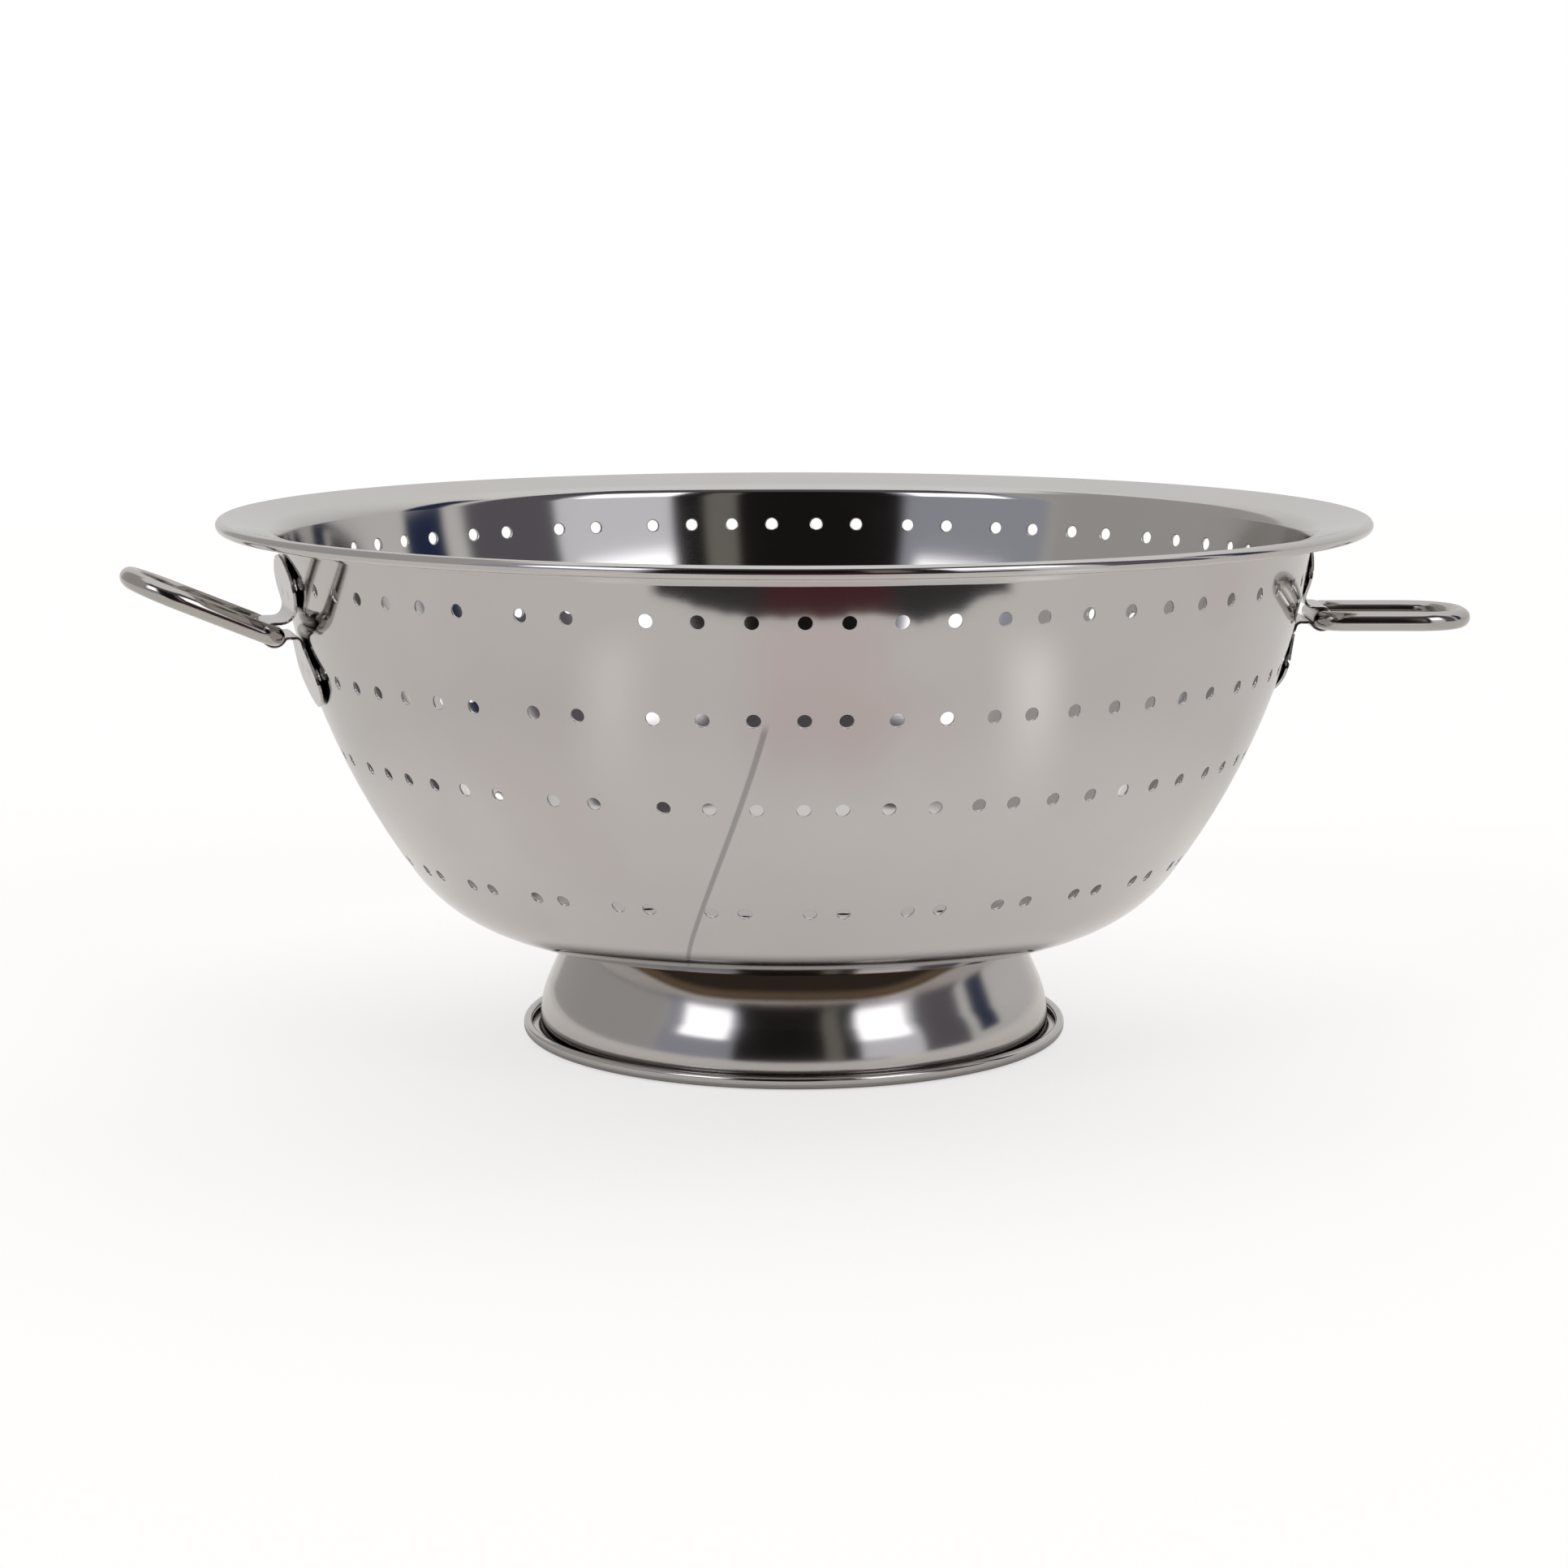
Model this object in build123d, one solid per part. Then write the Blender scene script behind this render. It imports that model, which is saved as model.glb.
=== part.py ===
from build123d import *
import math
import os

# A footed colander with two ring handles: a pressed and punched bowl, a flared foot welded
# under it, and two wire rings that swing in folded straps welded to the wall.
# Origin: centre of the foot on the table. +Z up. The handles stand near the X axis, each turned
# a little towards -Y, where the photograph was taken from. Millimetres.

# Bowl: one sheet, floor, corner, side, flared lip and rolled edge
bowl_sheet = 0.8
floor_radius = 81.0
floor_height = 34.5
corner_radius = 47.65
corner_turn_deg = 53.95
side_radius = 217.3
side_turn_deg = 29.2
lip_bend_radius = 4.6
lip_slope_deg = 13.0
lip_width = 13.3
edge_roll_diameter = 3.8
edge_roll_turn_deg = 285.0

# Punched holes: three rows share the same meridians, the fourth has its own.
# Row heights are shares of the bowl's side, 0 at its corner and 1 at its lip
hole_diameter = 4.0
punch_overrun = 3.0
wall_row_height_shares = [0.90418, 0.63643, 0.38143]
wall_pair_gap_deg = 5.2
wall_pair_places_deg = [
    0, 9.5, 20, 29.5, 40, 50.5, 62, 73, 84, 98.5, 108.5, 118, 129, 141, 152, 164,
    176, 187, 197.5, 210.5, 223.5, 235.5, 246, 257, 268, 279, 290, 302.5, 312.5, 323, 336, 349.5,
]
wall_first_pair_deg = -99.5
low_row_height_share = 0.06269
low_pair_gap_deg = 4.4
low_pair_count = 28
low_first_pair_deg = -93.7
floor_ring_radii = [16.0, 32.0, 48.0]
floor_ring_counts = [6, 12, 18]

# Foot: a slightly flaring cone that turns out at the table into a flat rim with a rolled lip
foot_sheet = 0.8
foot_top_radius = 69.6
foot_slope_deg = 23.5
foot_flare_deg = 4.0
foot_wall_bend_radius = 18.0
foot_wall_run = 1.52
foot_flange_width = 8.0
foot_top_bend_radius = 1.4
foot_rim_bend_radius = 1.4
foot_rim_width = 1.8
foot_lip_bend_radius = 0.9
foot_lip_height = 3.9
foot_lip_curl_deg = 215.0

# Spot welds: nuggets that bridge the small gap between two sheets
weld_gap = 0.2
foot_weld_count = 8
foot_weld_diameter = 4.5
strap_weld_diameter = 4.0
strap_weld_spread = 12.0

# Straps: sheet folded round the handle's bar, with a lobe up and a lobe down the wall.
# The hinge stands off the wall, at a share of the side's height. The neck's upper sheet lies
# over the bar and its lower sheet rises behind it
strap_sheet = 0.8
strap_height_share = 0.75412
hinge_standoff = 8.429
lobe_reach = 23.0
lobe_half_width = 21.0
lobe_crown = 9.0
lobe_corner_radius = 4.5
strap_waist_half_width = 11.0
strap_neck_drop = 1.0
strap_upper_root_bend_radius = 4.0
strap_root_bend_radius = 2.2
strap_barrel_bend_radius = 1.5
lobe_seat_gap = 0.25

# Ring handles: round wire, a straight bar in the strap and a rounded outer end
wire_diameter = 5.9
bar_clearance = 0.08
ring_width = 34.5
ring_reach = 44.2
ring_bar_corner_radius = 5.5
ring_end_corner_radius = 15.0
left_ring_tilt_deg = 23.0
right_ring_tilt_deg = 0.0
left_handle_turn_deg = 188.0
right_handle_turn_deg = -8.0


def heading(angle_deg):
    """Unit direction in the drawing plane."""
    angle = math.radians(angle_deg)
    return math.cos(angle), math.sin(angle)


def step(point, angle_deg, length):
    """The point that lies a length away from another in a given direction."""
    along, up = heading(angle_deg)
    return point[0] + along * length, point[1] + up * length


class Pen:
    """Draws a sheet's middle line as straight runs and tangent arcs."""

    def __init__(self, start, angle_deg):
        self.point = start
        self.angle = angle_deg
        self.pieces = []

    def run(self, length):
        end = step(self.point, self.angle, length)
        self.pieces.append(Line(self.point, end))
        self.point = end

    def turn(self, radius, sweep_deg):
        arc = JernArc(self.point, heading(self.angle), radius, sweep_deg)
        self.pieces.append(arc)
        self.point = (arc @ 1).X, (arc @ 1).Y
        self.angle += sweep_deg

    def sheet(self, thickness):
        return trace(Curve() + self.pieces, line_width=thickness)


def revolved(sketch):
    """A sketch drawn as radius and height, turned round the vertical axis."""
    return revolve(Plane.XZ * sketch, Axis.Z)


def corner_end():
    """Radius and height where the bowl's corner runs into its side."""
    turn = math.radians(corner_turn_deg)
    return floor_radius + corner_radius * math.sin(turn), floor_height + corner_radius * (1 - math.cos(turn))


def side_height(share):
    """Height of a place on the bowl's side, 0 at the corner and 1 at the lip."""
    start = math.radians(corner_turn_deg)
    end = math.radians(corner_turn_deg + side_turn_deg)
    return corner_end()[1] + share * side_radius * (math.cos(start) - math.cos(end))


def side_point(height):
    """Radius and tangent angle of the bowl's outer surface at a height."""
    corner_end_radius, corner_end_height = corner_end()
    if height <= corner_end_height:
        tangent = math.acos(1 - (height - floor_height) / corner_radius)
        return floor_radius + corner_radius * math.sin(tangent), math.degrees(tangent)
    start = math.radians(corner_turn_deg)
    tangent = math.acos(math.cos(start) - (height - corner_end_height) / side_radius)
    radius = corner_end_radius + side_radius * (math.sin(tangent) - math.sin(start))
    return radius, math.degrees(tangent)


strap_height = side_height(strap_height_share)
hinge_radius = side_point(strap_height)[0] + hinge_standoff


def bowl_shell():
    half = bowl_sheet / 2
    pen = Pen((0, floor_height + half), 0)
    pen.run(floor_radius)
    pen.turn(corner_radius - half, corner_turn_deg)
    pen.turn(side_radius - half, side_turn_deg)
    upright_deg = corner_turn_deg + side_turn_deg
    pen.turn(lip_bend_radius, lip_slope_deg - upright_deg)
    pen.run(lip_width)
    pen.turn(edge_roll_diameter / 2 - half, -edge_roll_turn_deg)
    return revolved(pen.sheet(bowl_sheet))


def punch(height):
    """A cylinder square to the wall at a height, pointing along +X."""
    radius, tangent_deg = side_point(height)
    out = heading(tangent_deg - 90)
    seat = Plane(origin=(radius, 0, height), z_dir=(out[0], 0, out[1]))
    return seat * Cylinder(hole_diameter / 2, punch_overrun * 2)


def pair_punches(height, gap_deg, places_deg):
    tool = punch(height)
    return [
        Rot(Z=place + side * gap_deg / 2) * tool
        for place in places_deg
        for side in (-1, 1)
    ]


def wall_punches():
    places = [wall_first_pair_deg + place for place in wall_pair_places_deg]
    tools = []
    for share in wall_row_height_shares:
        tools += pair_punches(side_height(share), wall_pair_gap_deg, places)
    low_places = [low_first_pair_deg + index * 360 / low_pair_count for index in range(low_pair_count)]
    return tools + pair_punches(side_height(low_row_height_share), low_pair_gap_deg, low_places)


def floor_punches():
    tool = Pos(Z=floor_height + bowl_sheet / 2) * Cylinder(hole_diameter / 2, punch_overrun * 2)
    tools = [tool]
    for radius, count in zip(floor_ring_radii, floor_ring_counts):
        tools += [Rot(Z=index * 360 / count) * Pos(X=radius) * tool for index in range(count)]
    return tools


def foot_ring():
    half = foot_sheet / 2
    top = floor_height - weld_gap - half
    top_slope_deg = foot_slope_deg - foot_flare_deg / 2
    low_slope_deg = foot_slope_deg + foot_flare_deg / 2
    pen = Pen((foot_top_radius - foot_flange_width, top), 0)
    pen.run(foot_flange_width - foot_top_bend_radius)
    pen.turn(foot_top_bend_radius, top_slope_deg - 90)
    wall_top = half + foot_rim_bend_radius + foot_wall_run
    cone_bottom = wall_top + foot_wall_bend_radius * math.sin(math.radians(low_slope_deg))
    cone_length = (pen.point[1] - cone_bottom) / math.cos(math.radians(foot_slope_deg))
    cone_radius = cone_length / 2 / math.sin(math.radians(foot_flare_deg) / 2)
    pen.turn(cone_radius, foot_flare_deg)
    pen.turn(foot_wall_bend_radius, -low_slope_deg)
    pen.run(foot_wall_run)
    pen.turn(foot_rim_bend_radius, 90)
    pen.run(foot_rim_width)
    pen.turn(foot_rim_bend_radius, 90)
    pen.run(foot_lip_height - foot_sheet - foot_rim_bend_radius - foot_lip_bend_radius)
    pen.turn(foot_lip_bend_radius, foot_lip_curl_deg)
    return revolved(pen.sheet(foot_sheet))


def foot_spot_welds():
    nugget = Cylinder(foot_weld_diameter / 2, weld_gap)
    middle = foot_top_radius - foot_flange_width / 2 - foot_top_bend_radius / 2
    seat = Pos(X=middle, Z=floor_height - weld_gap / 2)
    step_deg = 360 / foot_weld_count
    return [Rot(Z=(index + 1 / 2) * step_deg) * seat * nugget for index in range(foot_weld_count)]


def lobe_frame(direction):
    """Middle of a lobe's seat on the wall, its tangent angle and the sheet's middle plane."""
    height = strap_height + direction * lobe_reach / 2
    radius, tangent_deg = side_point(height)
    seat = step((radius, height), tangent_deg - 90, lobe_seat_gap + strap_sheet / 2)
    return seat, tangent_deg


def strap_section():
    """The folded sheet seen from the end of the handle's bar, as radius and height."""
    half = strap_sheet / 2
    barrel = (wire_diameter / 2) + bar_clearance + half
    upper, upper_deg = lobe_frame(1)
    lower, lower_deg = lobe_frame(-1)

    def root(seat, tangent_deg, height):
        """Where the lobe's middle line meets the neck's middle line."""
        return seat[0] + (height - seat[1]) / math.tan(math.radians(tangent_deg))

    upper_root = root(upper, upper_deg, strap_height + barrel)
    lower_root = root(lower, lower_deg, strap_height - strap_neck_drop)
    upper_setback = strap_upper_root_bend_radius * math.tan(math.radians(180 - upper_deg) / 2)
    lower_setback = strap_root_bend_radius * math.tan(math.radians(lower_deg) / 2)
    fillet_rise = strap_neck_drop + strap_barrel_bend_radius
    fillet_reach = barrel + strap_barrel_bend_radius
    open_deg = 90 - math.degrees(math.asin(fillet_rise / fillet_reach))

    upper_length = (lobe_reach - barrel) / math.sin(math.radians(upper_deg))
    lower_length = (lobe_reach - strap_neck_drop) / math.sin(math.radians(lower_deg))
    tip = step((upper_root, strap_height + barrel), upper_deg, upper_length)
    pen = Pen(tip, upper_deg - 180)
    pen.run(upper_length - upper_setback)
    pen.turn(strap_upper_root_bend_radius, 180 - upper_deg)
    pen.run(hinge_radius - pen.point[0])
    pen.turn(barrel, -180 - open_deg)
    pen.turn(strap_barrel_bend_radius, open_deg)
    pen.run(pen.point[0] - lower_root - lower_setback)
    pen.turn(strap_root_bend_radius, lower_deg)
    pen.run(lower_length - lower_setback)
    return pen.sheet(strap_sheet)


def strap_outline():
    """The bow-tie blank seen along the X axis: two crowned lobes and a waist."""
    flare = lobe_reach - lobe_crown
    neck = wire_diameter / 2 + bar_clearance + strap_sheet + strap_sheet / 2
    right_flare = (lobe_half_width, flare)
    left_flare = (-lobe_half_width, flare)
    crown = ThreePointArc(right_flare, (0, lobe_reach), left_flare)
    flanks = Polyline(
        left_flare,
        (-strap_waist_half_width, neck),
        (-strap_waist_half_width, 0),
        (strap_waist_half_width, 0),
        (strap_waist_half_width, neck),
        right_flare,
    )
    lobe = make_face([flanks, crown])
    corners = lobe.vertices().filter_by(lambda v: abs(abs(v.X) - lobe_half_width) < strap_sheet)
    lobe = fillet(corners, lobe_corner_radius)
    return lobe + mirror(lobe, Plane.XZ)


def strap():
    """The folded strap, drawn on the +X axis."""
    section = Plane.XZ * strap_section()
    folded = extrude(section, lobe_half_width, both=True)
    blank = Plane.YZ.offset(hinge_radius / 2) * Pos(Y=strap_height) * strap_outline()
    return folded & extrude(blank, hinge_radius)


def strap_welds(shell_blank):
    """Nuggets between the lobes and the wall, two to a lobe."""
    nuggets = []
    for direction in (1, -1):
        seat, tangent_deg = lobe_frame(direction)
        inner = step(seat, tangent_deg + 90, strap_sheet / 2)
        inward = heading(tangent_deg + 90)
        face = Plane(origin=(inner[0], 0, inner[1]), z_dir=(inward[0], 0, inward[1]))
        for side in (-1, 1):
            spot = Pos(Y=side * strap_weld_spread / 2)
            rod = extrude(spot * face * Circle(strap_weld_diameter / 2), lobe_seat_gap * 4)
            nuggets.append(rod - shell_blank)
    return nuggets


def bowl_blank():
    """The bowl filled solid, to trim what seats on its wall."""
    half = bowl_sheet / 2
    pen = Pen((0, floor_height), 0)
    pen.run(floor_radius)
    pen.turn(corner_radius, corner_turn_deg)
    pen.turn(side_radius, side_turn_deg)
    top = pen.point
    outline = pen.pieces + [Line(top, (0, top[1])), Line((0, top[1]), (0, floor_height))]
    return revolved(make_face(outline))


def ring_handle():
    """Closed wire ring, flat in the XY plane, its bar on the Y axis and its end at +X."""
    half = ring_width / 2
    corners = [(0, -half), (ring_reach, -half), (ring_reach, half), (0, half)]
    radii = [ring_bar_corner_radius, ring_end_corner_radius, ring_end_corner_radius, ring_bar_corner_radius]
    path = FilletPolyline(*corners, radius=radii, close=True)
    start = path @ 0
    section = Plane(origin=start, z_dir=path % 0) * Circle(wire_diameter / 2)
    return sweep(section, path=path)


def placed_ring(tilt_deg):
    return Pos(X=hinge_radius, Z=strap_height) * Rot(Y=-tilt_deg) * ring_handle()


def save(name, shape):
    os.makedirs("parts", exist_ok=True)
    export_step(shape, f"parts/{name}.step")
    print(name, "volume", round(shape.volume, 1))


def group(solids):
    return Compound(children=[solid for shape in solids for solid in shape.solids()])


bowl = bowl_shell() - wall_punches() - floor_punches()
blank = bowl_blank()
folded_strap = strap()
welds = strap_welds(blank)
right_side = Rot(Z=right_handle_turn_deg)
left_side = Rot(Z=left_handle_turn_deg)

save("bowl", bowl)
save("foot_ring", foot_ring())
save("foot_spot_welds", group(foot_spot_welds()))
save("right_handle_strap", right_side * folded_strap)
save("left_handle_strap", left_side * folded_strap)
save("right_strap_spot_welds", group([right_side * weld for weld in welds]))
save("left_strap_spot_welds", group([left_side * weld for weld in welds]))
save("right_ring_handle", right_side * placed_ring(right_ring_tilt_deg))
save("left_ring_handle", left_side * placed_ring(left_ring_tilt_deg))
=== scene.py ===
# %% [markdown]
# A footed stainless colander with two ring handles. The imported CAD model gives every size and
# place. Polished steel shows each facet of a coarse mesh, so the sheet and wire pieces are made
# again here as fine meshes of the same sizes, and each stands exactly where the CAD has it.

# %% The frame
import math

import bmesh
import bpy
import numpy as np
from mathutils import Matrix, Vector


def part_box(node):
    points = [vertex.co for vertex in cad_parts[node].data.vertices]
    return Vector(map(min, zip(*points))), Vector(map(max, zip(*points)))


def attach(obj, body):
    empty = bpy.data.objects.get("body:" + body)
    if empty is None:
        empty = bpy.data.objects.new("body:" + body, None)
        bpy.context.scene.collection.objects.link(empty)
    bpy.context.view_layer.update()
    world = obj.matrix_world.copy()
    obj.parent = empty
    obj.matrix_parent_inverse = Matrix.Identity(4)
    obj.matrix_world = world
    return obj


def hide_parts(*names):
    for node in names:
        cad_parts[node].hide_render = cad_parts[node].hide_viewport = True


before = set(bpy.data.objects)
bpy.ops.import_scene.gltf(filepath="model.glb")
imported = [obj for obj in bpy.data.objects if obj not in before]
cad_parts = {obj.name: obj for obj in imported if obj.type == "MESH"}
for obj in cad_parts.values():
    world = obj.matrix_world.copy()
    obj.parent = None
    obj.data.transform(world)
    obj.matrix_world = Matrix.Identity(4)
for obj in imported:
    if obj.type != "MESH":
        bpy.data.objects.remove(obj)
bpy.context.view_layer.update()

MM = 0.001


# %% [markdown]
# Shader maths reads best as plain sums. `Value` wraps one socket, and its operators add Math
# nodes, so `1 - mask * 0.2` becomes two nodes. `Shader.node` makes any other node from its type,
# its settings and the values or links of its inputs.

# %% Shader helpers
class Value:
    """One number that changes over a surface."""

    def __init__(self, shader, socket):
        self.shader = shader
        self.socket = socket

    def math(self, operation, first, second=0.0):
        return self.shader.node("ShaderNodeMath", {"operation": operation}, [first, second])

    def __add__(self, other):
        return self.math("ADD", self, other)

    def __sub__(self, other):
        return self.math("SUBTRACT", self, other)

    def __rsub__(self, other):
        return self.math("SUBTRACT", other, self)

    def __mul__(self, other):
        return self.math("MULTIPLY", self, other)

    def __rtruediv__(self, other):
        return self.math("DIVIDE", other, self)

    def __abs__(self):
        return self.math("ABSOLUTE", self)

    __radd__ = __add__
    __rmul__ = __mul__

    def root(self):
        return self.math("SQRT", self)

    def angle_from(self, other):
        """The angle in degrees whose tangent is this value over the other."""
        return self.math("ARCTAN2", self, other) * math.degrees(1)

    def ramp(self, low, high):
        """0 up to low, 1 from high, and a smooth step between them."""
        settings = {"interpolation_type": "SMOOTHSTEP"}
        inputs = {"Value": self, "From Min": low, "From Max": high}
        return self.shader.node("ShaderNodeMapRange", settings, inputs)

    def inside(self, low, high, soft):
        """1 between low and high, 0 outside, with soft edges."""
        return self.ramp(low - soft, low + soft) * (1 - self.ramp(high - soft, high + soft))


class Shader:
    """A node tree that is written as expressions."""

    def __init__(self, tree):
        self.tree = tree
        tree.nodes.clear()

    def node(self, kind, settings=None, inputs=(), out=0):
        node = self.tree.nodes.new(kind)
        for name, setting in (settings or {}).items():
            setattr(node, name, setting)
        pairs = inputs.items() if isinstance(inputs, dict) else enumerate(inputs)
        for key, value in pairs:
            if isinstance(value, Value):
                self.tree.links.new(value.socket, node.inputs[key])
            else:
                node.inputs[key].default_value = value
        return Value(self, node.outputs[out]) if node.outputs else None

    def axes(self, vector):
        """The X, Y and Z of a vector, each as a Value."""
        node = self.tree.nodes.new("ShaderNodeSeparateXYZ")
        self.tree.links.new(vector.socket, node.inputs[0])
        return [Value(self, socket) for socket in node.outputs]

    def place(self):
        """Where a point lies on the piece, in metres in the shared frame."""
        return self.node("ShaderNodeTexCoord", out="Object")

    def mix(self, factor, first, second):
        """A colour that goes from first to second as factor goes from 0 to 1."""
        inputs = {"Factor": factor, 6: first, 7: second}
        return self.node("ShaderNodeMix", {"data_type": "RGBA"}, inputs, out=2)

    def noise(self, vector, scale, detail):
        """A cloudy value from 0 to 1, finer as scale grows and crisper as detail grows."""
        inputs = {"Vector": vector, "Scale": scale, "Detail": detail}
        return self.node("ShaderNodeTexNoise", {}, inputs)


def grey(level, warmth=0.0):
    """A colour that is neutral, or warm where warmth is above 0."""
    return level * (1 + warmth), level, level * (1 - warmth), 1.0


def material_named(name):
    """The material of that name, made if it isn't there yet."""
    return bpy.data.materials.get(name) or bpy.data.materials.new(name)


# %% [markdown]
# The photograph was taken from about a metre away with a short telephoto lens, a little above the
# rim and tipped down by nine degrees. Both handles are turned eight degrees towards the front. The
# camera stands eight degrees round to the left, so it sees the right one square and the left one
# a little nearer.

# %% Camera
CAMERA_DISTANCE = 1.0505
CAMERA_HEIGHT = 0.2478
CAMERA_SIDE_DEG = -8.0
CAMERA_TILT_DEG = 9.21
CAMERA_PAN_DEG = 0.17
FOCAL_PIXELS = 4157.0
PHOTO_PIXELS = 1932.0

lens = bpy.data.cameras.new("camera")
lens.sensor_width = 36.0
lens.lens = FOCAL_PIXELS / PHOTO_PIXELS * lens.sensor_width
lens.clip_start = 0.05
camera = bpy.data.objects.new("camera", lens)
bpy.context.collection.objects.link(camera)
camera_side = math.radians(CAMERA_SIDE_DEG)
camera_out = Vector((math.sin(camera_side), -math.cos(camera_side), 0))
camera.location = camera_out * CAMERA_DISTANCE + Vector((0, 0, CAMERA_HEIGHT))
camera_turn = camera_side + math.radians(CAMERA_PAN_DEG)
camera.rotation_euler = (math.radians(90 - CAMERA_TILT_DEG), 0, camera_turn)
bpy.context.scene.camera = camera
bpy.context.scene.view_settings.view_transform = "Standard"
print("lens", round(lens.lens, 2), "mm")


# %% [markdown]
# A sheet piece turned on a lathe is a section spun round an axis. `Pen` draws such a section: it
# extrudes one vertex after another along runs and arcs, and notes which way it was heading at each.
# The heading is kept because it gives the exact normal of the finished surface at that point.

# %% Section pen
class Pen:
    """Draws runs and arcs in the XZ plane, in millimetres, into a bmesh."""

    def __init__(self, x, z, heading_deg=0.0):
        self.mesh = bmesh.new()
        self.heading = heading_deg
        self.points = [self.mesh.verts.new((x, 0, z))]
        self.headings = [heading_deg]

    def grow(self):
        grown = bmesh.ops.extrude_vert_indiv(self.mesh, verts=[self.points[-1]])
        self.points.append(grown["verts"][0])
        self.headings.append(self.heading)

    def run(self, length, pieces=1):
        heading = math.radians(self.heading)
        stride = Vector((math.cos(heading), 0, math.sin(heading))) * length / pieces
        for _ in range(pieces):
            self.grow()
            bmesh.ops.translate(self.mesh, vec=stride, verts=self.points[-1:])

    def turn(self, radius, sweep_deg, pieces):
        heading = math.radians(self.heading)
        left = Vector((-math.sin(heading), 0, math.cos(heading)))
        centre = self.points[-1].co + left * math.copysign(radius, sweep_deg)
        stride = Matrix.Rotation(math.radians(-sweep_deg / pieces), 3, "Y")
        for _ in range(pieces):
            self.heading += sweep_deg / pieces
            self.grow()
            bmesh.ops.rotate(self.mesh, cent=centre, matrix=stride, verts=self.points[-1:])


def trace(pen, moves, half):
    """Follows the middle line's moves with the pen, half a sheet out on its right-hand side."""
    for move in moves:
        if move[0] == "run":
            pen.run(move[1], move[2])
        else:
            pen.turn(move[1] + math.copysign(half, move[2]), move[2], move[3])


def backwards(moves):
    """The same middle line, walked from its far end."""
    turned = []
    for move in reversed(moves):
        turned.append(move if move[0] == "run" else ("turn", move[1], -move[2], move[3]))
    return turned


def sheet_section(x, z, moves, sheet, near_end=False):
    """The outline of a sheet whose middle line starts level at (x, z), with round edges."""
    half = sheet / 2
    pen = Pen(x, z - half)
    trace(pen, moves, half)
    pen.turn(half, 180, 4)
    trace(pen, backwards(moves), half)
    if near_end:
        pen.turn(half, 180, 4)
    return pen


# %% [markdown]
# `spun` turns a section into a piece. Smooth shading guesses normals from the faces round a vertex,
# and on a mirror even half a degree shows as a ring. So the next cell sets each face corner's
# normal from the section's own headings.

# %% Spinning
AROUND = 192


def linked(name, data):
    """A new object in the scene that shows a mesh."""
    piece = bpy.data.objects.new(name, data)
    bpy.context.collection.objects.link(piece)
    return piece


def finished(name, mesh):
    """An object in metres from a bmesh in millimetres."""
    bmesh.ops.scale(mesh, vec=(MM, MM, MM), verts=mesh.verts)
    data = bpy.data.meshes.new(name)
    mesh.to_mesh(data)
    mesh.free()
    data.shade_smooth()
    return linked(name, data)


def baked(piece):
    """Makes a piece's modifiers part of its mesh."""
    ready = piece.evaluated_get(bpy.context.evaluated_depsgraph_get())
    data = bpy.data.meshes.new_from_object(ready)
    piece.modifiers.clear()
    piece.data = data
    data.name = piece.name


def spun(name, pen, steps=AROUND):
    """A piece from a section that is turned once round the Z axis."""
    mesh = pen.mesh
    whole = {"cent": (0, 0, 0), "axis": (0, 0, 1), "angle": math.tau, "use_merge": True}
    bmesh.ops.spin(mesh, geom=mesh.verts[:] + mesh.edges[:], steps=steps, **whole)
    bmesh.ops.remove_doubles(mesh, verts=mesh.verts, dist=0.001)
    bmesh.ops.recalc_face_normals(mesh, faces=mesh.faces)
    return finished(name, mesh)


# %% [markdown]
# The table below holds a section as radius, height and heading. Each vertex of a spun piece looks
# up the place on the section nearest to it, and that place's heading gives its normal.

# %% True normals
def section_table(pen):
    """Radius, height and heading along a section, in metres and degrees."""
    places = [(point.co.x * MM, point.co.z * MM) for point in pen.points]
    return np.column_stack([places, pen.headings])


def nearest_headings(flat, table):
    """The section's heading, in radians, at the place nearest to each radius and height."""
    nearest = np.full(len(flat), np.inf)
    headings = np.zeros(len(flat))
    for start, end in zip(table[:-1], table[1:]):
        along = end[:2] - start[:2]
        length = max((along ** 2).sum(), 1e-16)
        share = ((flat - start[:2]) @ along / length).clip(0, 1)
        gap = ((flat - start[:2] - share[:, None] * along) ** 2).sum(axis=1)
        closer = gap < nearest
        nearest[closer] = gap[closer]
        headings[closer] = (start[2] + share * (end[2] - start[2]))[closer]
    return np.radians(headings)


def each(items, attribute, width=1, kind=np.int32):
    """One attribute of every item in a mesh's list, as an array."""
    values = np.empty(len(items) * width, dtype=kind)
    items.foreach_get(attribute, values)
    return values


def true_normals(piece, table):
    """Sets the normals of the faces in slot 0 from the nearest place on the section."""
    data = piece.data
    places = each(data.vertices, "co", 3, np.float64).reshape(-1, 3)
    radius = np.hypot(places[:, 0], places[:, 1])
    headings = nearest_headings(np.column_stack([radius, places[:, 2]]), table)
    sideways = np.sin(headings)[:, None] * places[:, :2] / np.maximum(radius, 1e-9)[:, None]
    normals = np.column_stack([sideways, -np.cos(headings)])
    corners = each(data.loops, "vertex_index")
    shading = np.array([corner.vector for corner in data.corner_normals])
    slots = each(data.polygons, "material_index")
    skin = np.repeat(slots, each(data.polygons, "loop_total")) == 0
    shading[skin] = normals[corners[skin]]
    data.normals_split_custom_set(shading.tolist())


def report(piece, node):
    """Prints how far a piece's box is from the CAD node's box, in millimetres."""
    corners = np.array([tuple(vertex.co) for vertex in piece.data.vertices])
    low, high = [np.array(corner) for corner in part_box(node)]
    off = np.concatenate([corners.min(axis=0) - low, corners.max(axis=0) - high]) / MM
    triangles = sum(len(face.vertices) - 2 for face in piece.data.polygons)
    print(piece.name, "box off by", off.round(2).tolist(), "mm,", triangles, "triangles")


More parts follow.
